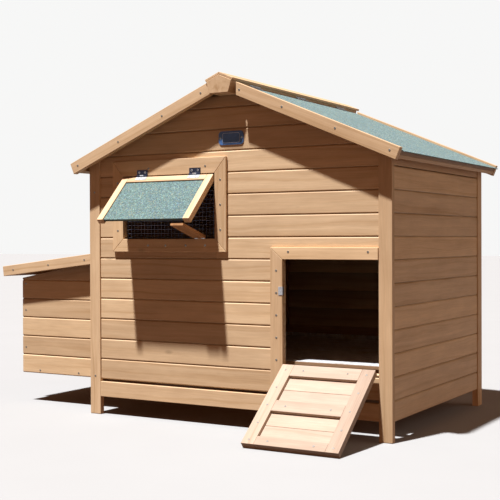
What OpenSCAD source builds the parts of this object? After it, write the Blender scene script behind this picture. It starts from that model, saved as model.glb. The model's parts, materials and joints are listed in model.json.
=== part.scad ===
// Raised wooden chicken coop: felted pitched roof, nest box on the left side, drop-down ramp door,
// top-hung window shutter on a folding prop, and a pull-out dropping tray. Millimetres, +Z up.
// House coordinates: x from the left posts' outer face, y from the front posts' face, z from the ground.

/* [House] */
// Width of the house over its posts
house_w = 1037; // [1020:1:1050]
// Depth of the house over its posts
house_d = 769; // [755:1:785]
// Height of the lowest board line above the ground
leg_h = 112; // [108:1:118]
// Spacing of the wall boards
board_pitch = 64; // [63:0.5:65]
// Thickness of the wall boards
board_t = 12; // [11:0.5:13]
// Width of the posts' broad faces and of the trims
post_w = 40; // [38:1:42]
// Thickness of the posts
post_t = 18; // [17:0.5:20]
// How far the front and back boards sit behind the posts' faces
front_recess = 4.5; // [4:0.5:5]
// How far the side boards sit behind the posts' faces
side_recess = 3; // [2:0.5:4]

/* [Roof] */
// Rise of the roof for each unit of run
roof_slope = 0.42; // [0.41:0.005:0.43]
// Board line at which the upper edges of the two barge boards would meet
barge_apex_row = 14.36; // [14.3:0.02:14.4]
// Length of a barge board along the slope, from the ridge line
barge_len = 608; // [600:1:616]
// Width of a barge board, square to the slope
barge_w = 36; // [34:1:38]
// How far the barge boards' faces stand in front of the posts
roof_overhang = 44; // [40:1:48]
// How far the ridge cap stands out behind the house
cap_back = 61; // [56:1:66]

/* [Door and ramp] */
// Left edge of the door opening
door_x0 = 702; // [696:1:708]
// Board line of the door sill
sill_row = 1.15; // [1.1:0.05:1.2]
// Board line of the door head
head_row = 6; // [5.95:0.05:6]
// Width of the ramp door
ramp_w = 286; // [280:1:288]
// Length of the ramp door
ramp_l = 299; // [296:1:302]

/* [Window and shutter] */
// Left edge of the window opening
win_x0 = 136; // [130:1:142]
// Right edge of the window opening
win_x1 = 474; // [468:1:480]
// Board line of the window ledge
ledge_row = 6.94; // [6.9:0.02:6.98]
// Board line of the window head
lintel_row = 9.98; // [9.94:0.02:10]
// Opening angle of the shutter on its prop
shutter_open = 45; // [44:1:46]

/* [Nest box] */
// How far the nest box stands out from the house
nest_out = 375; // [365:1:385]
// Front face of the nest box
nest_y0 = 96; // [90:1:102]
// Back face of the nest box
nest_y1 = 672; // [660:1:680]

/* [Hidden] */
$fn = 32;

// Colours
pine = [0.80, 0.62, 0.42];
shade = [0.66, 0.48, 0.32];
felt_green = [0.56, 0.72, 0.66];
zinc = [0.72, 0.73, 0.75];
slate_blue = [0.33, 0.43, 0.52];

// Shared small sizes
board_gap = 0.4;      // daylight between two boards
groove = 3;           // chamfer along a board's outer edges
weather_rise = 3;     // rise of the sloping joint between boards, outside to inside
batten = 18;          // side of the square battens
back_post_t = 20;     // width of the back posts as seen from the back
trim_t = 9;           // thickness of the window and door trims
ply_t = 9;            // thickness of the floor, divider and lid panels
screw_r = 3.2;        // radius of a screw head
screw_h = 0.8;        // height of a screw head
knuckle_r = 2.5;      // radius of a hinge knuckle
pin_r = 1.2;          // radius of a hinge pin
leaf_t = 1.2;         // thickness of a hinge leaf
hinge_stand = 2.8;    // hinge axis to the face that the leaves lie on

function line_z(row) = leg_h + row * board_pitch;

mid_x = house_w / 2;
door_x1 = house_w - post_w;
board_face = front_recess;
board_back = board_face + board_t;
trim_face = board_face - trim_t;
side_in = side_recess + board_t;

// Roof section: x is the run from the ridge line, z is measured from the barge boards' apex
slope_deg = atan(roof_slope);
ridge_z = line_z(barge_apex_row);
felt_top = -7;        // felt surface below the barge boards' upper edges, square to the slope
felt_t = 2;
deck_t = 12;
deck_top = felt_top - felt_t;
deck_low = deck_top - deck_t;
barge_t = 18;
roof_y0 = barge_t - roof_overhang;
roof_y1 = house_d - roof_y0;
beam_half = 43;
beam_foot_half = 32;
beam_drop = 52;
beam_top = 1.3;
roof_clear = 0.5;     // wall tops to the deck
right_deck_run = 46.5; // upper end of the right roof panel
notch_run = 56;       // and where it is cut back for its hinges
left_deck_run = 44;

function slope_point(u, v) = [
    u * cos(slope_deg) + v * sin(slope_deg),
    v * cos(slope_deg) - u * sin(slope_deg)
];
function run_point(run, v) = [run, v / cos(slope_deg) - run * roof_slope];
function slope_section(run, u, v0, v1) = [
    run_point(run, v1),
    slope_point(u, v1),
    slope_point(u, v0),
    run_point(run, v0)
];
// Height of the underside of the roof deck above the ground, less the clearance
function under_roof(run) = ridge_z + deck_low / cos(slope_deg) - run * roof_slope - roof_clear;

// Nest box and its lid
nest_low_row = -0.22;
nest_rows = [nest_low_row, 0.77, 1.77, 2.77, 3.77, 4.77];
nest_wall_slope = 0.19;
nest_wall_row = 5.99;  // top of the nest walls at the house
lid_slope = 0.116;
lid_row = 6.28;        // upper edge of the lid's side boards at the house
lid_deg = atan(lid_slope);
lid_out = 432;
lid_in = 4;
lid_side_h = 34;
lid_y0 = nest_y0 - 37;
lid_y1 = nest_y1 + 37;
lid_felt_top = -4;
lid_deck_low = lid_felt_top - felt_t - ply_t;

function nest_top(x) = line_z(nest_wall_row) + x * nest_wall_slope;
function lid_point(x, v) = [x - v * sin(lid_deg), line_z(lid_row) + x * lid_slope + v * cos(lid_deg)];

// Ramp door, described shut and then turned down to the ground about its hinge
sill_z = line_z(sill_row);
head_z = line_z(head_row);
ramp_t = 18;
ramp_x0 = door_x0 + 6;
ramp_z0 = sill_z + 4;
ramp_axis = [0, board_face - hinge_stand, sill_z - 0.5];
ramp_reach = [hinge_stand, ramp_z0 + ramp_l - ramp_axis[2]];
ramp_open = acos(-ramp_axis[2] / norm(ramp_reach)) + atan2(ramp_reach[0], ramp_reach[1]);
ramp_stile_w = 38;
ramp_rail_edges = [[0, 43], [137, 177], [269, ramp_l]];

// Window, shutter and prop; the shutter is described shut
ledge_z = line_z(ledge_row);
lintel_z = line_z(lintel_row);
top_trim_w = 48;
shutter_t = 18;
shutter_gap = 2.5;
shutter_x0 = win_x0 + shutter_gap;
shutter_x1 = win_x1 - shutter_gap;
shutter_z1 = lintel_z - 1;
shutter_l = 188;
shutter_bar = 22;
shutter_axis = [0, trim_face - hinge_stand, lintel_z];
prop_axis = [0, trim_face - hinge_stand, ledge_z + 2.7];
prop_w = 44;
prop_t = 8;
prop_l = 128;
prop_x = 424;
prop_top = 6;          // prop's upper face above its hinge axis, when it is level
// Lowest inner corner of the open shutter, seen from the prop's axis
shutter_corner = [shutter_axis[1] - prop_axis[1] + (hinge_stand + shutter_t) * cos(shutter_open)
        - (shutter_l + 1) * sin(shutter_open),
    shutter_axis[2] - prop_axis[2] - (hinge_stand + shutter_t) * sin(shutter_open)
        - (shutter_l + 1) * cos(shutter_open)];
prop_rise = atan2(shutter_corner[1], -shutter_corner[0]) - asin((prop_top + 0.6) / norm(shutter_corner));

// Floor and tray
tray_z = line_z(1.4);
tray_t = 1;
tray_y0 = 46;
floor_top = tray_z - tray_t - 0.3;
floor_low = floor_top - ply_t;
tray_rim = 14;
tray_x0 = 40;
tray_x1 = house_w - tray_x0;
slot_z0 = floor_low - 2;
slot_z1 = line_z(2);

// Bolt on the ramp door
bolt_z = line_z(4.59);
bolt_r = 2;
bolt_hole_r = 2.4;
bolt_y = -0.5;

// Nest entrances through the left wall: [y0, y1, z0, z1]
nest_mid = (nest_y0 + nest_y1) / 2;
entrance_w = 230;
entrance_z = [line_z(2), line_z(5)];

// The origin is under the middle of the whole coop's box, ramp down
x_low = lid_point(-lid_out, 0)[0];
x_high = mid_x + slope_point(barge_len + 10, felt_top)[0];
y_low = ramp_axis[1] - ramp_reach[1] * sin(ramp_open) + (hinge_stand + ramp_t) * cos(ramp_open);
y_high = house_d + cap_back;
origin = [(x_low + x_high) / 2, (y_low + y_high) / 2, 0];

// ---------- helpers ----------

module part(tint) color(tint) translate(-origin) children();

// Extrudes a [y, z] outline along x
module along_x(x0, x1, outline)
    translate([x0, 0, 0]) rotate([90, 0, 90]) linear_extrude(x1 - x0) polygon(outline);

// Extrudes an [x, z] outline along y
module along_y(y0, y1, outline)
    translate([0, y1, 0]) rotate([90, 0, 0]) linear_extrude(y1 - y0) polygon(outline);

module box(low, high) translate(low) cube(high - low);

// One wall board with chamfered outer edges and weathered joints; its outer face is the plane y = 0
module board(x0, x1, z0, z1, low_rise = weather_rise, top_rise = weather_rise) {
    top = z1 - board_gap;
    along_x(x0, x1, [[0, z0 + groove], [groove, z0], [board_t, z0 + low_rise], [board_t, top + top_rise],
        [groove, top], [0, top - groove]]);
}

function on_line(z) = abs((z - leg_h) / board_pitch - round((z - leg_h) / board_pitch)) < 0.01;

// Pieces [x0, x1, z0, z1] of one row of boards round openings [x0, x1, z0, z1] that go from left to right
function row_pieces(x0, x1, z0, z1, openings, i = 0) =
    i >= len(openings) ? (x1 - x0 > 5 ? [[x0, x1, z0, z1]] : [])
    : openings[i][2] > z1 - 1 || openings[i][3] < z0 + 1 ? row_pieces(x0, x1, z0, z1, openings, i + 1)
    : concat(
        openings[i][0] - x0 > 5 ? [[x0, openings[i][0], z0, z1]] : [],
        openings[i][2] - z0 > 5 ? [short_piece(openings[i], z0, openings[i][2])] : [],
        z1 - openings[i][3] > 5 ? [short_piece(openings[i], openings[i][3], z1)] : [],
        row_pieces(openings[i][1], x1, z0, z1, openings, i + 1));

// The piece of a row that stands above or below an opening
function short_piece(opening, z0, z1) = [opening[0] + board_gap, opening[1] - board_gap, z0, z1];

module board_rows(x0, x1, rows, openings = []) {
    for (row = rows, piece = row_pieces(x0, x1, row[0], row[1], openings))
        board(piece[0], piece[1], piece[2], piece[3],
            on_line(piece[2]) ? weather_rise : 0, on_line(piece[3]) ? weather_rise : 0);
}

function rows_between(first, last) = [for (k = [first:last]) [line_z(k), line_z(k + 1)]];

// Puts a wall drawn with its outer face at y = 0 onto each side of the house
module on_front() translate([0, board_face, 0]) children();
module on_back() translate([0, house_d - board_face, 0]) mirror([0, 1, 0]) children();
module on_right() translate([house_w - side_recess, 0, 0]) rotate([0, 0, 90]) children();
module on_left() translate([house_w, 0, 0]) mirror([1, 0, 0]) on_right() children();

module left_half() translate([house_w, 0, 0]) mirror([1, 0, 0]) children();

module gable_outline_prism() along_y(-1, board_t + 1, [
    [0, line_z(9)],
    [house_w, line_z(9)],
    [house_w, under_roof(mid_x)],
    [mid_x + 72, line_z(13.53)],
    [mid_x - 72, line_z(13.53)],
    [0, under_roof(mid_x)]
]);

module gable_wall(x0, x1, openings) {
    board_rows(x0, x1, rows_between(0, 9), openings);
    for (k = [10:13])
        intersection() {
            board(x0, x1, line_z(k), line_z(k + 1));
            gable_outline_prism();
        }
}

module slope_slab(run, u, v0, v1, y0, y1)
    translate([mid_x, 0, ridge_z]) along_y(y0, y1, slope_section(run, u, v0, v1));

// Screw heads standing on a face that looks towards -y
module heads_front(points, face) for (p = points)
    translate([p[0], face, p[1]]) rotate([90, 0, 0]) cylinder(r = screw_r, h = screw_h);
module heads_back(points, face) for (p = points)
    translate([p[0], face, p[1]]) rotate([-90, 0, 0]) cylinder(r = screw_r, h = screw_h);

// Hinge halves, axis along z at the origin; plate and tab are outlines in the section plane
module hinge_pin_half(length, plate, tab) {
    translate([0, 0, -length / 2]) cylinder(r = pin_r, h = length);
    translate([0, 0, -length / 2]) linear_extrude(length) polygon(plate);
    for (end = [-1, 1]) translate([0, 0, end * length / 3 - (length / 3 - 0.4) / 2]) {
        cylinder(r = knuckle_r, h = length / 3 - 0.4);
        linear_extrude(length / 3 - 0.4) polygon(tab);
    }
}
module hinge_eye_half(length, plate, tab) difference() {
    union() {
        translate([0, 0, -length / 2]) linear_extrude(length) polygon(plate);
        translate([0, 0, -(length / 3 - 0.4) / 2]) {
            cylinder(r = knuckle_r, h = length / 3 - 0.4);
            linear_extrude(length / 3 - 0.4) polygon(tab);
        }
    }
    translate([0, 0, -length / 2]) cylinder(r = pin_r + 0.06, h = length);
}
// Section plane (x, y) becomes (y, z), and the axis becomes x
module hinge_on_x(axis, x) translate([x, axis[1], axis[2]]) rotate([90, 0, 90]) children();
// Section plane (x, y) becomes (x, z), and the axis becomes y
module hinge_on_y(x, y, z) translate([x, y, z]) rotate([90, 0, 0]) children();

// A flat leaf whose back lies hinge_stand behind the axis, from the knuckle out to `reach`
function flat_plate(reach, way) = [[hinge_stand - leaf_t, way * 3], [hinge_stand, way * 3],
    [hinge_stand, way * reach], [hinge_stand - leaf_t, way * reach]];
function flat_tab(way) = [[hinge_stand - leaf_t, 0], [hinge_stand - 0.4, 0], [hinge_stand, way * 1],
    [hinge_stand, way * 3.2], [hinge_stand - leaf_t, way * 3.2]];

// Turns a piece that is drawn shut to where it rests
module turned(axis, angle) translate(axis) rotate([angle, 0, 0]) translate(-axis) children();

// ---------- posts and walls ----------

module post_pair(x, y0, y1, width) {
    outline = [[0, 0], [width, 0], [width, under_roof(mid_x - width)], [0, under_roof(mid_x)]];
    along_y(y0, y1, outline);
    left_half() along_y(y0, y1, outline);
}

module front_posts() part(pine) post_pair(0, 0, post_t, post_w);

module back_posts() part(pine) post_pair(0, house_d - post_w, house_d, back_post_t);

module front_wall_boards() part(pine) on_front() gable_wall(post_w, door_x1,
    [[win_x0, win_x1, ledge_z, line_z(10)], [door_x0, door_x1, sill_z, head_z]]);

module back_wall_boards() part(pine) on_back() gable_wall(back_post_t, house_w - back_post_t,
    [[tray_x0 - 4, tray_x1 + 4, slot_z0, slot_z1]]);

side_rows = concat([[line_z(-0.9), line_z(0)]], rows_between(0, 9));

module right_wall_boards() part(shade) on_right() board_rows(post_t, house_d - post_w, side_rows);

entrance_ys = [nest_y0 + 30, nest_y1 - 30 - entrance_w];

module left_wall_boards() part(shade) on_left() board_rows(post_t, house_d - post_w, side_rows,
    [for (y = entrance_ys) [y, y + entrance_w, entrance_z[0], entrance_z[1]]]);

module side_top_rail() on_right() along_x(post_t, house_d - post_w, [
    [0, line_z(10) + 2],
    [16, line_z(10) + 3.5],
    [16, under_roof(mid_x - side_recess - 16)],
    [0, under_roof(mid_x - side_recess)]
]);

module side_top_rails() part(pine) {
    side_top_rail();
    left_half() side_top_rail();
}

module base_rails() part(pine) {
    box([post_w, 0, line_z(-0.87)], [door_x1, post_t, line_z(-0.12)]);
    box([back_post_t, house_d - post_t, line_z(-0.87)], [house_w - back_post_t, house_d, line_z(-0.12)]);
}

// Upright battens that the boards are screwed to, [x, y, foot, top]
corner_gap = 0.2;
corner_top = line_z(10) + 1.8;
front_batten_y = board_back + corner_gap;
back_batten_y = house_d - board_back - batten - corner_gap;
corner_battens = [
    [side_in + corner_gap, post_t + corner_gap],
    [back_post_t + corner_gap, house_d - post_t - batten - corner_gap]
];
inner_battens = [
    [win_x0 - 20 - batten, front_batten_y, line_z(5), line_z(10.9)],
    [win_x1 + 20, front_batten_y, line_z(0), line_z(12.2)],
    [door_x0 - 20 - batten, front_batten_y, line_z(0), line_z(11.8)],
    for (x = [300, 720]) [x, back_batten_y, line_z(2) + 2, line_z(11.5)]
];

module corner_batten_pair() for (b = corner_battens)
    box([b[0], b[1], line_z(-0.9)], [b[0] + batten, b[1] + batten, corner_top]);

module wall_battens() part(shade) {
    corner_batten_pair();
    left_half() corner_batten_pair();
    for (b = inner_battens) box([b[0], b[1], b[2]], [b[0] + batten, b[1] + batten, b[3]]);
}

// ---------- floor, tray and perch ----------

module floor_bearers() part(shade) for (y = [52, 366, 690])
    box([side_in + 0.5, y, floor_low - 38], [house_w - side_in - 0.5, y + 25, floor_low - 0.2]);

module floor_panel() part(shade)
    box([side_in + 24, tray_y0 - 2, floor_low], [house_w - side_in - 24, house_d - 40, floor_top]);

module tray_shell(grow, base)
    box([tray_x0 + grow, tray_y0 + grow, base],
        [tray_x1 - grow, house_d - 24 - grow, tray_z + tray_rim + grow * 2]);

module dropping_tray() part(zinc) {
    difference() {
        tray_shell(0, tray_z - tray_t);
        tray_shell(tray_t, tray_z);
        box([tray_x0 + tray_t, tray_y0 - 1, tray_z],
            [tray_x1 - tray_t, tray_y0 + 2, tray_z + tray_rim + 2]);
    }
    color(pine) on_back() board(tray_x0, tray_x1, slot_z0 + 2, slot_z1, 0);
    color(pine) box([tray_x0 + 40, house_d - board_back - 6.9, tray_z + 1],
        [tray_x1 - 40, house_d - board_back, tray_z + 11]);
}

module perch() part(pine) {
    front = board_back + 0.5;
    back = house_d - board_back - 0.5;
    box([250, front, line_z(4)], [286, back, line_z(4) + 24]);
    for (y = [front, back - batten])
        box([242, y, line_z(4) - 28], [294, y + batten, line_z(4) - 0.2]);
}

// ---------- window and door trims ----------

module trim_bar(outline) along_y(trim_face, board_face, outline);

// A frame of four mitred bars round [x0, z0]-[x1, z1]; the head bar has its own width
module mitred_frame(x0, z0, x1, z1, w, head_w) {
    gap = 0.15;
    foot = z0 - w;
    head = z1 + head_w;
    trim_bar([[x0 - w + gap, foot], [x1 + w - gap, foot], [x1 - gap, z0], [x0 + gap, z0]]);
    trim_bar([[x0 + gap, z1], [x1 - gap, z1], [x1 + w - gap, head], [x0 - w + gap, head]]);
    trim_bar([[x0 - w, foot + gap], [x0, z0 + gap], [x0, z1 - gap], [x0 - w, head - gap]]);
    trim_bar([[x1, z0 + gap], [x1 + w, foot + gap], [x1 + w, head - gap], [x1, z1 - gap]]);
}

module window_trim() part(pine) mitred_frame(win_x0, ledge_z, win_x1, lintel_z, post_w, top_trim_w);

mesh_pitch = 12.7;
mesh_wire = 0.9;
mesh_edge = 9;

module window_mesh() part(zinc) translate([win_x0 - mesh_edge, board_back + 1.2, ledge_z - mesh_edge]) {
    across = win_x1 - win_x0 + 2 * mesh_edge;
    tall = line_z(10) - ledge_z + 2 * mesh_edge;
    columns = floor(across / mesh_pitch);
    lines = floor(tall / mesh_pitch);
    rotate([90, 0, 0]) linear_extrude(mesh_wire) difference() {
        square([columns * mesh_pitch + mesh_wire, lines * mesh_pitch + mesh_wire]);
        for (i = [0:columns - 1], j = [0:lines - 1])
            translate([i * mesh_pitch + mesh_wire, j * mesh_pitch + mesh_wire])
                square(mesh_pitch - mesh_wire);
    }
}

door_trim_top = head_z + 34;

module door_trim() part(pine) {
    difference() {
        trim_bar([
            [door_x0 - post_w, line_z(0)],
            [door_x0, line_z(0)],
            [door_x0, head_z - 0.15],
            [door_x0 - post_w, door_trim_top - 0.15]
        ]);
        translate([door_x0 - 11, bolt_y, bolt_z]) rotate([0, 90, 0]) cylinder(r = bolt_hole_r, h = 12);
    }
    trim_bar([
        [door_x0 + 0.15, head_z],
        [door_x1, head_z],
        [door_x1, door_trim_top],
        [door_x0 - post_w + 0.15, door_trim_top]
    ]);
}

plate_x = mid_x + 10;
plate_z = line_z(11.57);

module name_plate() part(slate_blue) {
    w = 85;
    h = 40;
    r = 11;
    translate([plate_x, board_face, plate_z]) rotate([90, 0, 0]) {
        translate([-w / 2 + r, -h / 2, 0]) cube([w - 2 * r, h, 2.5]);
        translate([-w / 2, -h / 2 + r, 0]) cube([w, h - 2 * r, 2.5]);
        for (x = [-1, 1], y = [-1, 1])
            translate([x * (w / 2 - r), y * (h / 2 - r), 0]) cylinder(r = r, h = 2.5);
    }
}

// ---------- roof ----------

module ridge_beam() part(pine)
    translate([mid_x, 0, ridge_z]) along_y(-roof_overhang - 6, roof_y1 + barge_t + 4, [
        [0, beam_top],
        [beam_half, beam_top - beam_half * roof_slope],
        [beam_foot_half, -beam_drop],
        [-beam_foot_half, -beam_drop],
        [-beam_half, beam_top - beam_half * roof_slope]
    ]);

module cap_board() {
    cap_t = 7.5;
    cap_half = 45;
    low = beam_top + 0.2;
    low_edge = low - cap_half * roof_slope;
    translate([mid_x, 0, ridge_z]) along_y(-roof_overhang - 5, y_high, [
        [0.15, low],
        [cap_half, low_edge],
        [cap_half + cap_t * sin(slope_deg), low_edge + cap_t * cos(slope_deg)],
        [0.15, low + cap_t / cos(slope_deg)]
    ]);
}

module ridge_cap() part(pine) {
    cap_board();
    left_half() cap_board();
}

module roof_deck(run) slope_slab(run, barge_len - 2, deck_low, deck_top, roof_y0 + 0.2, roof_y1 - 0.2);
module roof_felt(run)
    slope_slab(run + 1, barge_len + 10, deck_top + 0.1, felt_top, roof_y0 + 0.2, roof_y1 - 0.2);
module roof_barges(outline) translate([mid_x, 0, ridge_z]) {
    along_y(-roof_overhang, roof_y0, outline);
    along_y(roof_y1, roof_y1 + barge_t, outline);
}

// The left barge boards are cut to fit against the ridge beam
left_barge = [
    run_point(beam_half + 0.3, 0),
    slope_point(barge_len, 0),
    slope_point(barge_len, -barge_w),
    run_point(beam_foot_half + 0.4, -barge_w)
];
right_barge = slope_section(notch_run - 1, barge_len, -barge_w, 0);

fascia_h = 11;
module roof_fascia() translate([mid_x, 0, ridge_z]) along_y(roof_y0 + 0.2, roof_y1 - 0.2, [
    slope_point(barge_len - 2, deck_low - 0.1),
    slope_point(barge_len - 2, deck_low - fascia_h),
    slope_point(barge_len - 20, deck_low - fascia_h),
    slope_point(barge_len - 20, deck_low - 0.1)
]);
module roof_rafters() for (y = [60, house_d / 2 - 9, house_d - 78])
    slope_slab(80, 500, deck_low - batten, deck_low - 0.2, y, y + batten);

module roof_left_deck() part(shade) left_half() roof_deck(left_deck_run);
module roof_left_felt() part(felt_green) left_half() roof_felt(left_deck_run);
module roof_left_barges() part(pine) left_half() roof_barges(left_barge);
module roof_left_fascia() part(shade) left_half() roof_fascia();
module roof_left_rafters() part(shade) left_half() roof_rafters();
module roof_right_deck() part(shade) difference() {
    roof_deck(right_deck_run);
    hinge_notches();
}
module roof_right_felt() part(felt_green) difference() {
    roof_felt(right_deck_run);
    hinge_notches();
}
module roof_right_barges() part(pine) roof_barges(right_barge);
module roof_right_fascia() part(shade) roof_fascia();
module roof_right_rafters() part(shade) roof_rafters();

// Hinges of the right roof panel, in notches beside the ridge beam
roof_hinge_run = 50.5;
roof_hinge_z = ridge_z + run_point(roof_hinge_run, felt_top)[1] + 1;
roof_hinge_l = 66;
roof_hinge_ys = [90, house_d / 2, house_d - 90];

module at_roof_hinges() for (y = roof_hinge_ys)
    hinge_on_y(mid_x + roof_hinge_run, y, roof_hinge_z) children();

// Room for the hinges in the panel's upper edge
module hinge_notches() for (y = roof_hinge_ys)
    box([mid_x, y - roof_hinge_l / 2 - 2, ridge_z - 70],
        [mid_x + notch_run, y + roof_hinge_l / 2 + 2, ridge_z]);

module roof_hinge_fixed() part(zinc) at_roof_hinges() {
    beam_side = [beam_half - roof_hinge_run, ridge_z + beam_top - beam_half * roof_slope - roof_hinge_z];
    foot = [beam_foot_half - roof_hinge_run, ridge_z - beam_drop - roof_hinge_z];
    lean = (foot - beam_side) / norm(foot - beam_side);
    face = [-lean[1], lean[0]];
    corners = [[2, 0.05], [26, 0.05], [26, leaf_t], [2, leaf_t]];
    plate = [for (p = corners) beam_side + lean * p[0] + face * p[1]];
    tab = [beam_side + lean * 5 + face * 0.1, beam_side + lean * 9 + face * 0.1, [-1, -1.4], [-1, 1.4]];
    hinge_pin_half(roof_hinge_l, plate, tab);
}

module roof_hinge_moving() part(zinc) at_roof_hinges() {
    panel_end = notch_run - roof_hinge_run;
    plate = [[panel_end - leaf_t, -16], [panel_end, -16], [panel_end, -5], [panel_end - leaf_t, -5]];
    tab = [[0, -2], [1, -2.2], [panel_end, -5.5], [panel_end, -7], [panel_end - leaf_t, -7]];
    hinge_eye_half(roof_hinge_l, plate, tab);
}

// ---------- nest box ----------

nest_x0 = -nest_out;
nest_x1 = side_recess - 0.4;

nest_row_tops = [for (i = [1:len(nest_rows) - 1]) nest_rows[i], 6.3];

module nest_side() intersection() {
    union() for (i = [0:len(nest_rows) - 1])
        board(nest_x0, nest_x1, line_z(nest_rows[i]), line_z(nest_row_tops[i]));
    along_y(-1, board_t + 1, [
        [nest_x0, line_z(-1)],
        [nest_x1, line_z(-1)],
        [nest_x1, nest_top(nest_x1)],
        [nest_x0, nest_top(nest_x0)]
    ]);
}

module nest_side_boards() part(pine) {
    translate([0, nest_y0, 0]) nest_side();
    translate([0, nest_y1, 0]) mirror([0, 1, 0]) nest_side();
}

module nest_end_boards() part(pine) translate([nest_x0, nest_y1 - board_t - 0.3, 0]) rotate([0, 0, -90])
    for (i = [0:len(nest_rows) - 2]) {
        last = i == len(nest_rows) - 2;
        board(0, nest_y1 - nest_y0 - 2 * board_t - 0.6, line_z(nest_rows[i]),
            last ? nest_top(nest_x0) : line_z(nest_rows[i + 1]), weather_rise, last ? 0 : weather_rise);
    }

nest_floor_z = line_z(0.1);

// Inner faces of the nest box
nest_in_x = nest_x0 + board_t + 0.3;
nest_in_y0 = nest_y0 + board_t + 0.3;
nest_in_y1 = nest_y1 - board_t - 0.3;
nest_floor_top = nest_floor_z + ply_t;

module nest_battens() part(shade) for (y = [nest_in_y0, nest_in_y1 - batten]) {
    box([nest_in_x, y, nest_floor_top + 0.3], [nest_in_x + batten, y + batten, line_z(4.7)]);
    box([nest_in_x, y, nest_floor_z - batten - 0.3], [nest_x1, y + batten, nest_floor_z - 0.3]);
}

module nest_floor() part(shade)
    box([nest_in_x, nest_in_y0, nest_floor_z], [nest_x1, nest_in_y1, nest_floor_top]);

module nest_divider() part(shade) along_y(nest_mid - ply_t / 2, nest_mid + ply_t / 2, [
    [nest_in_x, nest_floor_top + 0.2],
    [nest_x1, nest_floor_top + 0.2],
    [nest_x1, nest_top(nest_x1) - 6],
    [nest_in_x, nest_top(nest_in_x) - 6]
]);

// A slab that follows the lid's slope between two depths below the upper edge line
module lid_slab(x0, x1, v0, v1, y0, y1)
    along_y(y0, y1, [lid_point(x0, v0), lid_point(x1, v0), lid_point(x1, v1), lid_point(x0, v1)]);

// The side boards stand at both ends, and the panel lies between them
lid_side_t = 18;
lid_panel_y0 = lid_y0 + lid_side_t + 0.2;
lid_panel_y1 = lid_y1 - lid_side_t - 0.2;
lid_felt_low = lid_felt_top - felt_t;

module lid_deck() part(shade)
    lid_slab(-lid_out + 1, -lid_in - 2, lid_deck_low, lid_felt_low, lid_panel_y0, lid_panel_y1);
module lid_felt() part(felt_green)
    lid_slab(-lid_out, -lid_in - 2, lid_felt_low + 0.1, lid_felt_top, lid_panel_y0, lid_panel_y1);

module lid_frame() part(pine) {
    for (y = [lid_y0, lid_y1 - lid_side_t])
        lid_slab(-lid_out, -lid_in - 4, -lid_side_h, 0, y, y + lid_side_t);
    lid_slab(-lid_out + 1, -lid_out + 19, -lid_side_h, lid_deck_low - 0.2, lid_panel_y0, lid_panel_y1);
}

lid_axis_x = side_recess - hinge_stand;
lid_axis_z = line_z(lid_row) + 1;
lid_hinge_l = 60;
lid_hinge_ys = [nest_y0 + 90, nest_y1 - 90];

module lid_hinge_fixed() part(zinc) for (y = lid_hinge_ys) hinge_on_y(lid_axis_x, y, lid_axis_z)
    hinge_pin_half(lid_hinge_l, flat_plate(22, 1), flat_tab(1));

module lid_hinge_moving() part(zinc) for (y = lid_hinge_ys) hinge_on_y(lid_axis_x, y, lid_axis_z) {
    start = lid_point(-7, lid_felt_top + 0.05) - [lid_axis_x, lid_axis_z];
    end = lid_point(-30, lid_felt_top + 0.05) - [lid_axis_x, lid_axis_z];
    rise = [-sin(lid_deg), cos(lid_deg)] * leaf_t;
    plate = [start, start + rise, end + rise, end];
    hinge_eye_half(lid_hinge_l, plate, [[0, -2.2], [-1, 1], start + rise - [1, 0], start - [1, 0]]);
}

// ---------- ramp door ----------

module ramp_down() turned(ramp_axis, ramp_open) children();

// A bar of the ramp: x range, and distances from its lower edge when shut
module ramp_bar(x0, x1, from, to, depth0 = 0, depth1 = ramp_t)
    box([x0, board_face + depth0, ramp_z0 + from], [x1, board_face + depth1, ramp_z0 + to]);

ramp_x1 = ramp_x0 + ramp_w;
ramp_in_x0 = ramp_x0 + ramp_stile_w + 0.2;
ramp_in_x1 = ramp_x1 - ramp_stile_w - 0.2;

module ramp_stiles() part(pine) ramp_down() for (x = [ramp_x0, ramp_x1 - ramp_stile_w])
    ramp_bar(x, x + ramp_stile_w, 0, ramp_l);

module ramp_rails() part(pine) ramp_down() for (edge = ramp_rail_edges)
    ramp_bar(ramp_in_x0, ramp_in_x1, edge[0], edge[1]);

// Thin boards let in behind the walking face, two to a panel
module ramp_boards() part(pine) ramp_down() for (i = [0, 1]) {
    low = ramp_rail_edges[i][1];
    high = ramp_rail_edges[i + 1][0];
    middle = (low + high) / 2;
    for (span = [[low, middle], [middle, high]])
        ramp_bar(ramp_in_x0, ramp_in_x1, span[0] + 0.3, span[1] - 0.3, 0, 8);
}

ramp_hinge_l = 54;
ramp_hinge_xs = [ramp_x0 + 50, ramp_x1 - 50];

module ramp_hinge_fixed() part(zinc) for (x = ramp_hinge_xs) hinge_on_x(ramp_axis, x)
    hinge_pin_half(ramp_hinge_l, flat_plate(20, -1), flat_tab(-1));

module ramp_hinge_moving() part(zinc) ramp_down() for (x = ramp_hinge_xs) hinge_on_x(ramp_axis, x)
    hinge_eye_half(ramp_hinge_l, flat_plate(24, 1), flat_tab(1));

bolt_x0 = ramp_x0 + 2;
bolt_knob_x = bolt_x0 + 31;

module bolt_guide(x) difference() {
    box([x, bolt_y - 4, bolt_z - 4.5], [x + 6, board_face - 1.5, bolt_z + 4.5]);
    translate([x - 1, bolt_y, bolt_z]) rotate([0, 90, 0]) cylinder(r = bolt_r + 0.1, h = 8);
}

module bolt_plate() part(zinc) ramp_down() {
    box([bolt_x0, board_face - 1.5, bolt_z - 9], [bolt_x0 + 56, board_face, bolt_z + 9]);
    bolt_guide(bolt_x0 + 6);
    bolt_guide(bolt_x0 + 44);
}

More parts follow.
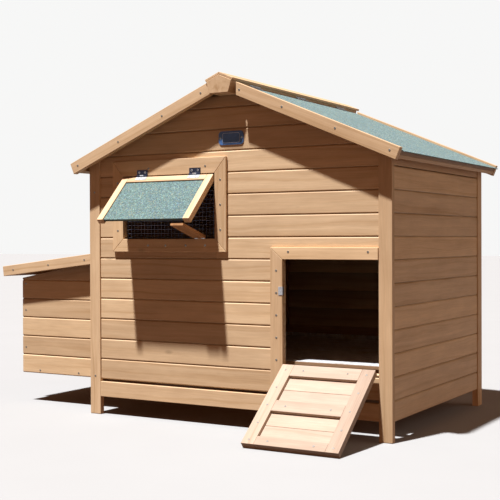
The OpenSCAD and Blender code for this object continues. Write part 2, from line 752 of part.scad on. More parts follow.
module bolt_rod() part(zinc) ramp_down() {
    translate([bolt_x0, bolt_y, bolt_z]) rotate([0, 90, 0]) cylinder(r = bolt_r, h = 66);
    translate([bolt_knob_x, bolt_y, bolt_z]) rotate([90, 0, 0]) cylinder(r = 2.5, h = 9);
}

module bolt_keeper() part(zinc) difference() {
    union() {
        box([door_x0, trim_face - leaf_t, bolt_z - 12], [door_x0 + leaf_t, board_face, bolt_z + 12]);
        box([door_x0 - 13, trim_face - leaf_t, bolt_z - 12], [door_x0 + 0.1, trim_face, bolt_z + 12]);
    }
    translate([door_x0 - 1, bolt_y, bolt_z]) rotate([0, 90, 0]) cylinder(r = bolt_hole_r, h = 4);
}

// ---------- shutter and prop ----------

module shutter_up() turned(shutter_axis, -shutter_open) children();

module shutter_frame() part(pine) shutter_up() {
    for (x = [shutter_x0, shutter_x1 - shutter_bar])
        box([x, trim_face, shutter_z1 - shutter_l], [x + shutter_bar, trim_face + shutter_t, shutter_z1]);
    box([shutter_x0 + shutter_bar + 0.2, trim_face, shutter_z1 - shutter_bar],
        [shutter_x1 - shutter_bar - 0.2, trim_face + shutter_t, shutter_z1]);
}

module shutter_panel() part(felt_green) shutter_up() box(
    [shutter_x0 + shutter_bar + 0.2, trim_face + 4, shutter_z1 - shutter_l + 4],
    [shutter_x1 - shutter_bar - 0.2, trim_face + 12, shutter_z1 - shutter_bar - 0.2]);

shutter_hinge_l = 40;
shutter_hinge_xs = [212, 406];

module shutter_hinge_fixed() part(zinc) for (x = shutter_hinge_xs) hinge_on_x(shutter_axis, x)
    hinge_pin_half(shutter_hinge_l, flat_plate(18, 1), flat_tab(1));

module shutter_hinge_moving() part(zinc) shutter_up() for (x = shutter_hinge_xs) hinge_on_x(shutter_axis, x)
    hinge_eye_half(shutter_hinge_l, flat_plate(16, -1), flat_tab(-1));

// The prop is drawn hanging down in front of the ledge, and swings up under the shutter
module prop_up() turned(prop_axis, -90 - prop_rise) children();

module shutter_prop() part(pine) prop_up() {
    front = prop_axis[1] - prop_top;
    difference() {
        union() {
            box([prop_x - prop_w / 2, front, prop_axis[2] - prop_l],
                [prop_x + prop_w / 2, front + prop_t, prop_axis[2] - 3.4]);
            hinge_on_x(prop_axis, prop_x) {
                translate([0, 0, -6]) cylinder(r = knuckle_r, h = 12);
                translate([0, 0, -6]) linear_extrude(12) polygon([[-2, 0], [-2, -4], [2, -4], [2, 0]]);
            }
        }
        hinge_on_x(prop_axis, prop_x) translate([0, 0, -20]) cylinder(r = pin_r + 0.06, h = 40);
    }
}

module prop_hinge_fixed() part(zinc) {
    hinge_on_x(prop_axis, prop_x) {
        translate([0, 0, -18]) cylinder(r = pin_r, h = 36);
        for (end = [-1, 1]) translate([0, 0, end * 12.4 - 5.6]) {
            cylinder(r = knuckle_r, h = 11.2);
            linear_extrude(11.2) polygon([[0, -2.7], [0, -1.5], [3, -1.5], [3, -2.7]]);
        }
    }
    box([prop_x - 18, trim_face + 0.1, ledge_z], [prop_x + 18, trim_face + 12, ledge_z + leaf_t]);
    for (end = [-1, 1]) box([prop_x + end * 12.4 - 5.6, prop_axis[1], ledge_z],
        [prop_x + end * 12.4 + 5.6, trim_face + 1, ledge_z + leaf_t]);
}

// ---------- screws ----------

function spread(a, b, n) = [for (i = [0:n - 1]) a + (b - a) * i / (n - 1)];

module barge_heads(runs) for (run = runs) {
    p = [mid_x, ridge_z] + run_point(run, -barge_w / 2);
    heads_front([p], -roof_overhang);
    heads_back([p], roof_y1 + barge_t);
}

barge_runs = [66, 205, 370, 530];

module nest_heads() {
    for (row = [4.565, 3.145, 1.155]) translate([nest_x0 + 15, 0, line_z(row)]) children();
    for (x = [-297, -128]) translate([x, 0, line_z(-0.05)]) children();
}

module house_screws() part(zinc) {
    half = post_w / 2;
    heads_front([for (x = [232, 297, 371, 441]) [x, ledge_z - half]], trim_face);
    heads_front([for (x = [235, 442]) [x, lintel_z + half + 2]], trim_face);
    for (x = [win_x0 - half, win_x1 + half])
        heads_front([for (z = spread(ledge_z + 26, lintel_z - 20, 3)) [x, z]], trim_face);
    heads_front([for (k = [0:5]) [door_x0 - half, line_z(k + 0.5)]], trim_face);
    heads_front([for (x = [door_x0 + 19, door_x1 - 29]) [x, head_z + 22]], trim_face);
    heads_front([for (x = [-37, 37]) [plate_x + x, plate_z]], board_face - 2.5);
    heads_front([for (z = [121, 705]) [half, z]], 0);
    translate([0, nest_y0, 0]) nest_heads() heads_front([[0, 0]], 0);
    translate([0, nest_y1, 0]) nest_heads() heads_back([[0, 0]], 0);
    left_half() barge_heads(barge_runs);
}

module roof_right_screws() part(zinc) barge_heads(barge_runs);

module lid_screws() part(zinc) {
    points = [for (x = [-386, -229, -74]) lid_point(x, -lid_side_h / 2)];
    heads_front(points, lid_y0);
    heads_back(points, lid_y1);
}

module ramp_screws() part(zinc) ramp_down() {
    face = board_face + ramp_t;
    middles = [for (edge = ramp_rail_edges) ramp_z0 + (edge[0] + edge[1]) / 2];
    sides = [ramp_x0 + ramp_stile_w / 2, ramp_x1 - ramp_stile_w / 2];
    heads_back([for (z = concat(middles, [ramp_z0 + 90, ramp_z0 + 223]), x = sides) [x, z]], face);
    heads_back([for (z = middles, x = [ramp_x0 + 75, ramp_x1 - 75]) [x, z]], face);
}

// ---------- drawing ----------

front_posts();
back_posts();
front_wall_boards();
back_wall_boards();
left_wall_boards();
right_wall_boards();
side_top_rails();
base_rails();
wall_battens();
floor_bearers();
floor_panel();
perch();
window_trim();
window_mesh();
door_trim();
name_plate();
ridge_beam();
ridge_cap();
roof_left_deck();
roof_left_felt();
roof_left_barges();
roof_left_fascia();
roof_left_rafters();
nest_side_boards();
nest_end_boards();
nest_battens();
nest_floor();
nest_divider();
shutter_hinge_fixed();
prop_hinge_fixed();
ramp_hinge_fixed();
lid_hinge_fixed();
roof_hinge_fixed();
bolt_keeper();
house_screws();
roof_right_deck();
roof_right_felt();
roof_right_barges();
roof_right_fascia();
roof_right_rafters();
roof_hinge_moving();
roof_right_screws();
lid_deck();
lid_felt();
lid_frame();
lid_hinge_moving();
lid_screws();
ramp_stiles();
ramp_rails();
ramp_boards();
ramp_hinge_moving();
bolt_plate();
ramp_screws();
shutter_frame();
shutter_panel();
shutter_hinge_moving();
shutter_prop();
bolt_rod();
dropping_tray();
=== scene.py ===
import json
import math
import random

import bmesh
import bpy
from mathutils import Matrix, Vector


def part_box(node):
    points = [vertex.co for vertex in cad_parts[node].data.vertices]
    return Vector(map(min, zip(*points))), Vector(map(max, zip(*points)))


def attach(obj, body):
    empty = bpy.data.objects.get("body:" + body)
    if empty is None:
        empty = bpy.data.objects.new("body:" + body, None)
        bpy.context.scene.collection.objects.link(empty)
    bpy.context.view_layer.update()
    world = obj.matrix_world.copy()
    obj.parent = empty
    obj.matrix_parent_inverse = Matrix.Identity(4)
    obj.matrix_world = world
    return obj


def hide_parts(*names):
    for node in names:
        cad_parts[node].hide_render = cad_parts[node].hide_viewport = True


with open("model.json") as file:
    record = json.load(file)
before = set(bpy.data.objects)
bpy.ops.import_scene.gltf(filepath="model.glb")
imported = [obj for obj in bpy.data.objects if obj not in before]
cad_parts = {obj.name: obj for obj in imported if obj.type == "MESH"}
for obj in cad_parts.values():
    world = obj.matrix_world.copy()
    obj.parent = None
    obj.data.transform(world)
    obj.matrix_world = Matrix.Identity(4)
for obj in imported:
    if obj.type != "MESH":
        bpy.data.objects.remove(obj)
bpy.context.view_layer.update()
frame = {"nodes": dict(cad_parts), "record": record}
NODES = frame["nodes"]
BODY_OF = {n: b for b, names in frame["record"]["behaviour"]["bodies"].items() for n in names}
SLOT_OF = {s["node"]: s["material_slot"] for s in frame["record"]["subparts"]}
HOUSE_MIDDLE_Y = sum(corner.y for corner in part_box("ridge_beam")) / 2


# ---------- node graphs ----------

class Graph:
    """A material's node tree, with short calls for the nodes used here."""

    def __init__(self, name):
        self.material = bpy.data.materials.new(name)
        self.material.use_nodes = True
        self.tree = self.material.node_tree
        self.shader = self.tree.nodes["Principled BSDF"]

    def put(self, target, value):
        if isinstance(value, bpy.types.NodeSocket):
            self.tree.links.new(value, target)
        else:
            target.default_value = value

    def node(self, kind, settings=None, **inputs):
        made = self.tree.nodes.new(kind)
        for key, value in (settings or {}).items():
            setattr(made, key, value)
        for key, value in inputs.items():
            self.put(made.inputs[key.replace("_", " ")], value)
        return made

    def math(self, operation, a, b=0.0, clamp=False):
        made = self.tree.nodes.new("ShaderNodeMath")
        made.operation = operation
        made.use_clamp = clamp
        self.put(made.inputs[0], a)
        self.put(made.inputs[1], b)
        return made.outputs[0]

    def vector(self, operation, a, b):
        made = self.tree.nodes.new("ShaderNodeVectorMath")
        made.operation = operation
        self.put(made.inputs[0], a)
        self.put(made.inputs[1], b)
        return made.outputs[0]

    def combine(self, x, y, z):
        return self.node("ShaderNodeCombineXYZ", X=x, Y=y, Z=z).outputs[0]

    def noise(self, where, scale, detail=3.0, roughness=0.5, distortion=0.0):
        return self.node("ShaderNodeTexNoise", Vector=where, Scale=scale, Detail=detail,
                         Roughness=roughness, Distortion=distortion).outputs[0]

    def ramp(self, fac, *stops):
        made = self.node("ShaderNodeValToRGB", Fac=fac)
        band = made.color_ramp
        while len(band.elements) < len(stops):
            band.elements.new(0.5)
        for element, (place, colour) in zip(band.elements, stops):
            element.position = place
            element.color = (*colour, 1.0) if len(colour) == 3 else colour
        return made.outputs[0]

    def level(self, fac, low, high):
        return self.node("ShaderNodeMapRange", {"clamp": True}, Value=fac,
                         **{"From_Min": low, "From_Max": high}).outputs[0]

    def mix(self, fac, a, b, blend="MIX"):
        made = self.tree.nodes.new("ShaderNodeMix")
        made.data_type = "RGBA"
        made.blend_type = blend
        self.put(made.inputs[0], fac)
        for socket, value in ((made.inputs[6], a), (made.inputs[7], b)):
            self.put(socket, (*value, 1.0) if isinstance(value, tuple) and len(value) == 3 else value)
        return made.outputs[2]

    def bump(self, height, distance, strength=1.0):
        made = self.node("ShaderNodeBump", Strength=strength, Distance=distance, Height=height)
        self.put(self.shader.inputs["Normal"], made.outputs[0])

    def finish(self, colour, roughness, **others):
        self.put(self.shader.inputs["Base Color"], colour)
        self.put(self.shader.inputs["Roughness"], roughness)
        for key, value in others.items():
            self.put(self.shader.inputs[key.replace("_", " ")], value)
        return self.material


def place(graph):
    return graph.node("ShaderNodeTexCoord").outputs["Object"]


def grey(value):
    return (value, value, value)


# ---------- materials ----------

def timber(name, light, dark, fibre=1.0, rough=0.62, knots=0.5, groove_shade=0.0):
    """Stained softwood. The grain attribute holds each board's own length, width and thickness."""
    g = Graph(name)
    grain = g.node("ShaderNodeAttribute", {"attribute_name": "grain"})
    own = g.node("ShaderNodeAttribute", {"attribute_name": "board"}).outputs["Fac"]
    axes = g.node("ShaderNodeSeparateXYZ", Vector=grain.outputs["Vector"])
    along, width, thick = axes.outputs[0], axes.outputs[1], axes.outputs[2]
    shift = g.math("MULTIPLY", own, 37.0)
    wander = g.noise(g.combine(g.math("ADD", g.math("MULTIPLY", along, 3.0), shift),
                               g.math("MULTIPLY", width, 9.0), own), 1.0, 2.0)
    bend = g.math("MULTIPLY", wander, 0.035)
    rings_at = g.combine(g.math("ADD", g.math("MULTIPLY", along, 1.1), shift),
                         g.math("MULTIPLY", g.math("ADD", width, bend), 62.0),
                         g.math("MULTIPLY", thick, 50.0))
    rings = g.noise(rings_at, 1.0, 3.0, 0.55, 0.5)
    fibres_at = g.combine(g.math("ADD", g.math("MULTIPLY", along, 14.0), shift),
                          g.math("MULTIPLY", width, 1100.0), g.math("MULTIPLY", thick, 900.0))
    fibres = g.noise(fibres_at, 1.0, 2.0, 0.6)
    cloud = g.noise(g.vector("MULTIPLY", grain.outputs["Vector"], (7.0, 26.0, 26.0)), 1.0, 3.0, 0.6)
    colour = g.ramp(rings, (0.28, dark), (0.46, tuple(0.25 * d + 0.75 * l for d, l in zip(dark, light))),
                    (0.62, light), (0.80, tuple(min(1.0, l * 1.12) for l in light)))
    tone = g.ramp(own, (0.0, (0.88, 0.85, 0.82)), (0.35, (0.96, 0.945, 0.93)), (0.7, grey(1.02)),
                  (1.0, (1.12, 1.11, 1.08)))
    colour = g.mix(1.0, colour, tone, "MULTIPLY")
    colour = g.mix(0.45 * fibre, colour, g.ramp(fibres, (0.3, grey(0.62)), (0.65, grey(1.08))), "MULTIPLY")
    colour = g.mix(0.5, colour, g.ramp(cloud, (0.3, (0.78, 0.72, 0.66)), (0.7, (1.07, 1.06, 1.04))), "MULTIPLY")
    spots = g.node("ShaderNodeTexVoronoi", {"feature": "F1"}, Scale=1.0, Randomness=1.0, Vector=g.combine(
        g.math("ADD", g.math("MULTIPLY", along, 4.2), shift), g.math("MULTIPLY", width, 9.5), own))
    knot = g.math("SUBTRACT", 1.0, g.level(spots.outputs["Distance"], 0.03, 0.085), clamp=True)
    knot = g.math("MULTIPLY", knot, knots)
    colour = g.mix(knot, colour, tuple(d * 0.42 for d in dark))
    height = g.math("ADD", g.math("MULTIPLY", fibres, 0.6), g.math("MULTIPLY", rings, 0.5))
    # Painted shade: colour along each board's long edges, in the V-groove between boards, is darkened towards a
    # deep brown.
    if groove_shade:
        painted_groove_shade = g.node("ShaderNodeAttribute", {"attribute_name": "groove"}).outputs["Fac"]
        colour = g.mix(g.math("MULTIPLY", painted_groove_shade, groove_shade), colour, tuple(d * 0.35 for d in dark))
    g.bump(height, 0.0006 * fibre, 0.6)
    return g.finish(colour, g.math("ADD", g.math("MULTIPLY", fibres, 0.18), rough - 0.09))


def plywood():
    g = Graph("plywood_face")
    grain = g.node("ShaderNodeAttribute", {"attribute_name": "grain"}).outputs["Vector"]
    figure = g.noise(g.vector("MULTIPLY", grain, (2.0, 16.0, 16.0)), 1.0, 4.0, 0.55, 1.6)
    pores = g.noise(g.vector("MULTIPLY", grain, (30.0, 900.0, 900.0)), 1.0, 2.0)
    plies = g.node("ShaderNodeTexWave", {"bands_direction": "Z"}, Scale=330.0, Distortion=0.4, Vector=grain)
    colour = g.ramp(figure, (0.3, (0.25, 0.135, 0.065)), (0.55, (0.36, 0.21, 0.11)), (0.75, (0.43, 0.27, 0.15)))
    colour = g.mix(0.35, colour, g.ramp(pores, (0.3, grey(0.6)), (0.6, grey(1.05))), "MULTIPLY")
    colour = g.mix(0.18, colour, plies.outputs["Color"], "MULTIPLY")
    g.bump(pores, 0.0003)
    return g.finish(colour, g.math("ADD", g.math("MULTIPLY", pores, 0.15), 0.6))


def felt(name, tint):
    """Mineral-faced roofing felt: stone chips of a few tones, with pale and damp patches."""
    g = Graph(name)
    at = place(g)
    chips = g.node("ShaderNodeTexVoronoi", {"feature": "F1"}, Vector=at, Scale=420.0)
    parts = g.node("ShaderNodeSeparateColor", Color=chips.outputs["Color"])
    tone, hue = parts.outputs[0], parts.outputs[1]
    clumps = g.noise(at, 170.0, 3.0, 0.7)
    patches = g.noise(at, 9.0, 4.0, 0.6)
    colour = g.ramp(tone, (0.0, tuple(t * 0.5 for t in tint)), (0.3, tuple(t * 0.85 for t in tint)),
                    (0.75, tuple(t * 1.15 for t in tint)), (1.0, tuple(t * 1.9 for t in tint)))
    colour = g.mix(g.level(hue, 0.72, 0.78), colour, tuple(t * k for t, k in zip(tint, (0.9, 0.88, 1.25))))
    colour = g.mix(g.level(hue, 0.90, 0.93), colour, tuple(t * k for t, k in zip(tint, (2.1, 1.35, 1.05))))
    colour = g.mix(0.55, colour, g.ramp(clumps, (0.3, grey(0.6)), (0.7, grey(1.35))), "MULTIPLY")
    colour = g.mix(0.6, colour, g.ramp(patches, (0.3, (0.84, 0.88, 0.95)), (0.7, (1.08, 1.06, 1.0))), "MULTIPLY")
    g.bump(g.math("ADD", tone, chips.outputs["Distance"]), 0.0009, 0.8)
    return g.finish(colour, g.math("ADD", g.math("MULTIPLY", tone, 0.12), 0.82))


def metal(name, colour, rough, scale=120.0, spots=0.0, stretch=(1.0, 1.0, 1.0)):
    """Zinc: slow cloud of tone, fine scratches, and dull spots where it has aged."""
    g = Graph(name)
    at = place(g)
    fine = g.noise(g.vector("MULTIPLY", at, stretch), scale * 6.0, 3.0, 0.6)
    cloud = g.noise(at, scale, 3.0, 0.6)
    shade = g.ramp(cloud, (0.3, tuple(c * 0.68 for c in colour)), (0.7, colour))
    shade = g.mix(0.3, shade, g.ramp(fine, (0.35, grey(0.7)), (0.65, grey(1.1))), "MULTIPLY")
    if spots:
        age = g.level(g.noise(at, scale * 0.35, 4.0, 0.7), 0.56, 0.68)
        shade = g.mix(g.math("MULTIPLY", age, spots), shade, (0.20, 0.11, 0.06))
    g.bump(fine, 0.00012, 0.5)
    return g.finish(shade, g.math("ADD", g.math("MULTIPLY", cloud, 0.25), rough - 0.12), Metallic=1.0)


def painted(name, colour, rough):
    g = Graph(name)
    at = place(g)
    peel = g.noise(at, 900.0, 2.0)
    dust = g.noise(at, 60.0, 4.0, 0.65)
    shade = g.ramp(dust, (0.3, tuple(c * 0.8 for c in colour)), (0.75, tuple(min(1.0, c * 1.15 + 0.01) for c in colour)))
    g.bump(peel, 0.00015, 0.4)
    return g.finish(shade, g.math("ADD", g.math("MULTIPLY", dust, 0.2), rough - 0.1), Coat_Weight=0.15)


def tray_material(y_split):
    """The tray's pan is galvanised sheet and its back board is stained wood, in one CAD node."""
    g = Graph("tray_pan_and_board")
    at = place(g)
    axes = g.node("ShaderNodeSeparateXYZ", Vector=at)
    spangle = g.node("ShaderNodeTexVoronoi", {"feature": "F1"}, Vector=at, Scale=95.0)
    facet = g.node("ShaderNodeSeparateColor", Color=spangle.outputs["Color"]).outputs[0]
    zinc = g.ramp(facet, (0.0, (0.62, 0.64, 0.66)), (1.0, (0.86, 0.87, 0.88)))
    stains = g.noise(at, 14.0, 4.0, 0.6)
    zinc = g.mix(g.level(stains, 0.55, 0.75), zinc, (0.52, 0.46, 0.38))
    fibres = g.noise(g.vector("MULTIPLY", at, (12.0, 500.0, 900.0)), 1.0, 3.0, 0.6)
    wood = g.ramp(fibres, (0.3, (0.30, 0.155, 0.065)), (0.7, (0.50, 0.29, 0.14)))
    is_wood = g.math("GREATER_THAN", axes.outputs[1], y_split)
    g.bump(fibres, 0.0002, 0.4)
    return g.finish(g.mix(is_wood, zinc, wood), g.math("ADD", g.math("MULTIPLY", facet, 0.15), 0.38),
                    Metallic=g.math("MULTIPLY", g.math("SUBTRACT", 1.0, is_wood), 0.35))


def floor_material():
    g = Graph("pale_floor")
    soft = g.noise(place(g), 3.0, 3.0)
    return g.finish(g.ramp(soft, (0.0, (0.325, 0.325, 0.320)), (1.0, (0.340, 0.340, 0.335))), 0.9)


MATERIALS = {
    # The boards carry painted shade in the V-groove between them.
    "boards": timber("boards_stained", (0.68, 0.485, 0.295), (0.52, 0.33, 0.17), 0.8, groove_shade=0.7),
    "planed": timber("trims_stained", (0.68, 0.475, 0.285), (0.51, 0.32, 0.16), 0.7, knots=0.35),
    # Painted shade: the ramp is a darker copy of the stain, holding down the strong key light on its slope.
    "ramp": timber("ramp_timber", (0.43, 0.315, 0.235), (0.33, 0.225, 0.15), 1.0, knots=0.25),
    # Painted shade: the prop is a darker, more orange copy of the stain, for the shade under the shutter.
    "prop": timber("prop_painted_shade", (0.44, 0.22, 0.085), (0.31, 0.14, 0.05), 1.0, knots=0.2),
    # Painted shade: the inner framing is a darker, redder copy of the stain, standing in for the dim inside of the
    # house.
    "inner": timber("inner_timber_painted_shade", (0.36, 0.185, 0.085), (0.24, 0.115, 0.05), 1.2, rough=0.75),
    "plywood": plywood(),
    "felt": felt("roofing_felt", (0.130, 0.200, 0.188)),
    "felt_panel": felt("shutter_felt", (0.106, 0.172, 0.158)),
    "zinc": metal("zinc_plate", (0.50, 0.51, 0.53), 0.5, spots=0.5),
    "dark_zinc": metal("hinge_blackened", (0.07, 0.08, 0.13), 0.45, spots=0.3),
    "screw": metal("screw_zinc", (0.33, 0.31, 0.28), 0.55, 300.0, spots=0.5),
    "bright_zinc": metal("screw_bright", (0.75, 0.76, 0.80), 0.35, 300.0),
    "mesh": metal("mesh_wire", (0.17, 0.18, 0.25), 0.55, 90.0, spots=0.3),
    "plate": painted("plate_blue", (0.06, 0.15, 0.36), 0.45),
    "plate_rim": painted("plate_rim_pale", (0.46, 0.56, 0.72), 0.5),
}


# ---------- carrying CAD shapes over ----------

def islands_of(bm):
    """The separate solids of a mesh, as lists of vertices."""
    left, found = set(bm.verts), []
    for start in bm.verts:
        if start not in left:
            continue
        left.discard(start)
        stack, members = [start], []
        while stack:
            v = stack.pop()
            members.append(v)
            for e in v.link_edges:
                w = e.other_vert(v)
                if w in left:
                    left.discard(w)
                    stack.append(w)
        found.append(members)
    return found


def own_axes(members):
    """A solid's length, width and thickness directions, from its longest edges."""
    edges = {e for v in members for e in v.link_edges}
    spans = sorted(((e.verts[1].co - e.verts[0].co) for e in edges), key=lambda d: -d.length)
    along = spans[0].normalized()
    across = [(d - along * d.dot(along)) for d in spans]
    width = max(across, key=lambda d: d.length).normalized()
    return along, width, along.cross(width)


def clean_copy(node):
    """A welded copy of a CAD node's mesh, without the triangles' inner edges."""
    bm = bmesh.new()
    bm.from_mesh(NODES[node].data)
    bmesh.ops.remove_doubles(bm, verts=bm.verts, dist=1e-5)
    bmesh.ops.dissolve_limit(bm, angle_limit=math.radians(0.4), verts=bm.verts, edges=bm.edges)
    return bm


def add_piece(bm, name, node, material, body=None, slot=None, replace=True):
    mesh = bpy.data.meshes.new(name)
    bm.to_mesh(mesh)
    bm.free()
    mesh.materials.append(material)
    piece = bpy.data.objects.new(name, mesh)
    bpy.context.scene.collection.objects.link(piece)
    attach(piece, body or BODY_OF[node])
    if replace:
        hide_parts(node)
    slot or SLOT_OF[node]
    return piece


def soften(piece, width, segments=2):
    bevel = piece.modifiers.new("eased_edges", "BEVEL")
    bevel.width = width
    bevel.segments = segments
    bevel.limit_method = "ANGLE"
    bevel.angle_limit = math.radians(28)
    bevel.miter_outer = "MITER_ARC"


def dress_timber(node, material, edge=0.0011):
    """The node's boards, each with its own grain and eased edges."""
    bm = clean_copy(node)
    rng = random.Random(node)
    grain = bm.verts.layers.float_vector.new("grain")
    board = bm.verts.layers.float.new("board")
    groove = bm.verts.layers.float.new("groove")
    for members in islands_of(bm):
        axes = own_axes(members)
        own = rng.random()
        away = Vector((rng.uniform(-5, 5), rng.uniform(-1, 1), rng.uniform(-1, 1)))
        widths = [v.co.dot(axes[1]) for v in members]
        for v, width in zip(members, widths):
            v[grain] = Vector([v.co.dot(axis) for axis in axes]) + away
            v[board] = own
            # groove marks the vertices on a board's long edges, where timber() paints shade into the V-groove.
            v[groove] = float(min(width - min(widths), max(widths) - width) < 0.001)
    piece = add_piece(bm, node + "_timber", node, material)
    soften(piece, edge)
    return piece


def plain(node, material):
    """A CAD node that stays as it is, with a material."""
    data = NODES[node].data
    data.materials.clear()
    data.materials.append(material)


# ---------- screws ----------

def crosshead(bm, centre, normal, radius, height):
    """A countersunk head with a cross recess, its top height above centre."""
    turn = normal.to_track_quat("Z", "Y").to_matrix().to_4x4()
    at = Matrix.Translation(centre) @ turn
    rim, arm, half = radius, radius * 0.56, radius * 0.15

    def loop(points, z):
        return [bm.verts.new(at @ Vector((x, y, z))) for x, y in points]

    circle = [(math.cos(a), math.sin(a)) for a in (math.tau * k / 24 for k in range(24))]
    cross = []
    for k in range(4):
        c, s = math.cos(math.pi / 2 * k), math.sin(math.pi / 2 * k)
        for x, y in ((arm, -half), (arm, half), (half, half)):
            cross.append((x * c - y * s, x * s + y * c))
    base = loop([(x * rim, y * rim) for x, y in circle], 0.0)
    edge = loop([(x * rim * 0.97, y * rim * 0.97) for x, y in circle], height * 0.72)
    top = loop([(x * rim * 0.86, y * rim * 0.86) for x, y in circle], height)
    mouth = loop(cross, height)
    deep = loop([(x * 0.6, y * 0.6) for x, y in cross], height - radius * 0.55)
    for low, high in ((base, edge), (edge, top), (mouth, deep)):
        for k in range(len(low)):
            bm.faces.new((low[k - 1], low[k], high[k], high[k - 1]))
    bm.faces.new(deep)
    bm.faces.new(base[::-1])
    rims = [bm.edges.get((ring[k - 1], ring[k])) for ring in (top, mouth) for k in range(len(ring))]
    bmesh.ops.triangle_fill(bm, edges=rims, use_beauty=True)


def heads_of(bm):
    """(foot, outward direction, radius, height) of each screw head; heads face away from the middle."""
    for members in islands_of(bm):
        middle = sum((v.co for v in members), Vector()) / len(members)
        away = -1.0 if middle.y < HOUSE_MIDDLE_Y else 1.0
        ends = sorted({f for v in members for f in v.link_faces}, key=lambda f: -f.calc_area())[:2]
        foot, top = sorted(ends, key=lambda f: f.normal.y * away)
        start = foot.calc_center_median()
        rise = top.calc_center_median() - start
        yield start, rise.normalized(), (foot.verts[0].co - start).length, rise.length


def crosshead_screws(node):
    shapes = clean_copy(node)
    bm = bmesh.new()
    for head in heads_of(shapes):
        crosshead(bm, *head)
    shapes.free()
    add_piece(bm, node + "_crossheads", node, MATERIALS["screw"])


def hinge_leaf_screws():
    """Two bright heads on each upper leaf of the shutter's hinges."""
    low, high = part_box("shutter_hinge_fixed")
    bm = bmesh.new()
    for middle in (low.x + 0.020, high.x - 0.020):
        for side in (-0.011, 0.011):
            crosshead(bm, Vector((middle + side, high.y - 0.0012, high.z - 0.0075)), Vector((0.0, -1.0, 0.0)),
                      0.0034, 0.0007)
    add_piece(bm, "shutter_hinge_leaf_screws", "shutter_hinge_fixed", MATERIALS["bright_zinc"], replace=False)


# ---------- camera, light and floor ----------

KEY_FROM = Vector((-0.30, -1.0, 2.85)).normalized()
FILL_FROM = Vector((1.0, 0.15, 0.35)).normalized()


def camera():
    yaw, pitch, roll = math.radians(30.354), math.radians(-0.563), math.radians(-0.228)
    forward = Vector((-math.sin(yaw) * math.cos(pitch), math.cos(yaw) * math.cos(pitch), math.sin(pitch)))
    right = Vector((math.cos(yaw), math.sin(yaw), 0.0))
    up = right.cross(forward)
    spun = right * math.cos(roll) + up * math.sin(roll)
    up = up * math.cos(roll) - right * math.sin(roll)
    data = bpy.data.cameras.new("view")
    data.sensor_width = 36.0
    data.lens = 75.1
    made = bpy.data.objects.new("view", data)
    bpy.context.scene.collection.objects.link(made)
    made.matrix_world = Matrix.Translation((1.79987, -2.90863, 0.55245)) @ Matrix(
        (spun, up, -forward)).transposed().to_4x4()
    bpy.context.scene.camera = made


def far_lamp(name, direction, energy, spread, colour):
    """A lamp far enough away to light the whole stage evenly; spread is its width in degrees."""
    data = bpy.data.lights.new(name, "SUN")
    data.energy = energy
    data.angle = math.radians(spread)
    data.color = colour
    made = bpy.data.objects.new(name, data)
    bpy.context.scene.collection.objects.link(made)
    made.rotation_euler = (-direction).to_track_quat("-Z", "Y").to_euler()


def studio():
    """A pale backdrop, a dim warm surround, a key lamp high in front on the left and a weak fill on the right."""
    world = bpy.data.worlds.new("studio")
    bpy.context.scene.world = world
    world.use_nodes = True
    tree = world.node_tree
    surround = tree.nodes["Background"]
    surround.inputs["Color"].default_value = (1.0, 0.47, 0.26, 1.0)
    surround.inputs["Strength"].default_value = 0.17
    backdrop = tree.nodes.new("ShaderNodeBackground")
    backdrop.inputs["Color"].default_value = (0.93, 0.93, 0.925, 1.0)
    seen = tree.nodes.new("ShaderNodeLightPath")
    both = tree.nodes.new("ShaderNodeMixShader")
    tree.links.new(seen.outputs["Is Camera Ray"], both.inputs[0])
    tree.links.new(surround.outputs[0], both.inputs[1])
    tree.links.new(backdrop.outputs[0], both.inputs[2])
    tree.links.new(both.outputs[0], tree.nodes["World Output"].inputs[0])
    far_lamp("key", KEY_FROM, 8.7, 2.0, (0.98, 0.98, 1.0))
    far_lamp("fill", FILL_FROM, 0.45, 60.0, (1.0, 0.95, 0.86))


def ground():
    bm = bmesh.new()
    bmesh.ops.create_grid(bm, x_segments=8, y_segments=8, size=30.0)
    mesh = bpy.data.meshes.new("floor")
    bm.to_mesh(mesh)
    bm.free()
    mesh.materials.append(floor_material())
    made = bpy.data.objects.new("floor", mesh)
    bpy.context.scene.collection.objects.link(made)
    made.location.z = -0.0005
    made.visible_diffuse = False


# ---------- the coop ----------

BOARD_NODES = ("front_wall_boards", "back_wall_boards", "left_wall_boards", "right_wall_boards",
               "nest_side_boards", "nest_end_boards")
PLANED_NODES = ("front_posts", "back_posts", "window_trim", "door_trim", "base_rails", "side_top_rails",
                "ridge_beam", "ridge_cap", "roof_left_barges", "roof_right_barges", "lid_frame",
                "shutter_frame", "roof_left_fascia", "roof_right_fascia")
# The inner framing gets the darker timber with painted shade.
INNER_NODES = ("wall_battens", "floor_bearers", "nest_battens", "roof_left_rafters", "roof_right_rafters", "perch")
RAMP_NODES = ("ramp_stiles", "ramp_rails", "ramp_boards")
PLY_NODES = ("roof_left_deck", "roof_right_deck", "lid_deck", "floor_panel", "nest_floor", "nest_divider")


def timber_parts():
    for nodes, material, edge in ((BOARD_NODES, "boards", 0.0009), (PLANED_NODES, "planed", 0.0013),
                                  (INNER_NODES, "inner", 0.0010), (RAMP_NODES, "ramp", 0.0011),
                                  (PLY_NODES, "plywood", 0.0005), (("shutter_prop",), "prop", 0.0010)):
        for node in nodes:
            dress_timber(node, MATERIALS[material], edge)


def covers():
    for node in ("roof_left_felt", "roof_right_felt", "lid_felt"):
        plain(node, MATERIALS["felt"])
    plain("shutter_panel", MATERIALS["felt_panel"])
    plain("name_plate", MATERIALS["plate"])


def hardware():
    for node in NODES:
        if "hinge" in node or node.startswith("bolt"):
            plain(node, MATERIALS["zinc"])
        elif node.endswith("_screws"):
            crosshead_screws(node)
    plain("shutter_hinge_fixed", MATERIALS["dark_zinc"])
    plain("bolt_keeper", MATERIALS["bright_zinc"])
    hinge_leaf_screws()
    low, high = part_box("dropping_tray")
    plain("dropping_tray", tray_material(high.y - 0.020))


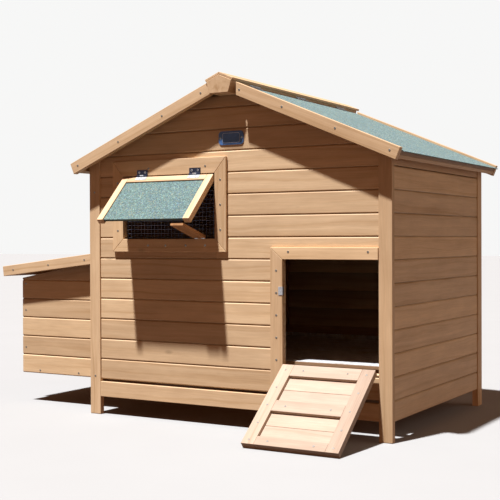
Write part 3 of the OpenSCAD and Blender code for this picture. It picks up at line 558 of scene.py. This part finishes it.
def plate_rim():
    """A thin raised band inside the name plate's edge; the plate itself stays blank."""
    low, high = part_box("name_plate")
    centre = (low + high) / 2
    bm = bmesh.new()

    def outline(half_x, half_z, r, y):
        corners = ((1, 1, 0), (-1, 1, 90), (-1, -1, 180), (1, -1, 270))
        turns = [(cx, cz, math.radians(start + 15 * k)) for cx, cz, start in corners for k in range(7)]
        return [bm.verts.new((centre.x + cx * (half_x - r) + r * math.cos(a), y,
                              centre.z + cz * (half_z - r) + r * math.sin(a))) for cx, cz, a in turns]

    face, proud = low.y + 0.0001, low.y - 0.0004
    rings = [outline(0.0300, 0.0150, 0.0060, face), outline(0.0298, 0.0148, 0.0060, proud),
             outline(0.0288, 0.0138, 0.0052, proud), outline(0.0286, 0.0136, 0.0052, face)]
    for k in range(4):
        inner, outer = rings[k - 1], rings[k]
        for i in range(len(inner)):
            bm.faces.new((inner[i - 1], inner[i], outer[i], outer[i - 1]))
    bmesh.ops.recalc_face_normals(bm, faces=bm.faces)
    add_piece(bm, "name_plate_rim", "name_plate", MATERIALS["plate_rim"], replace=False)


def window_wires():
    """Welded mesh: round upright wires in front of round level ones, on the CAD grid's pitch."""
    low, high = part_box("window_mesh")
    pitch, r = 0.0127, 0.00045
    bm = bmesh.new()
    middle_y = (low.y + high.y) / 2

    def wire(start, end):
        axis = end - start
        at = Matrix.Translation((start + end) / 2) @ axis.to_track_quat("Z", "Y").to_matrix().to_4x4()
        bmesh.ops.create_cone(bm, cap_ends=True, segments=8, radius1=r, radius2=r, depth=axis.length, matrix=at)

    for k in range(int((high.x - low.x) / pitch) + 1):
        x = low.x + r + k * pitch
        wire(Vector((x, middle_y - r * 0.8, low.z)), Vector((x, middle_y - r * 0.8, high.z)))
    for k in range(int((high.z - low.z) / pitch) + 1):
        z = low.z + r + k * pitch
        wire(Vector((low.x, middle_y + r * 0.8, z)), Vector((high.x, middle_y + r * 0.8, z)))
    add_piece(bm, "window_mesh_wires", "window_mesh", MATERIALS["mesh"])


bpy.context.scene.view_settings.view_transform = "Standard"
timber_parts()
covers()
hardware()
plate_rim()
window_wires()
ground()
studio()
camera()
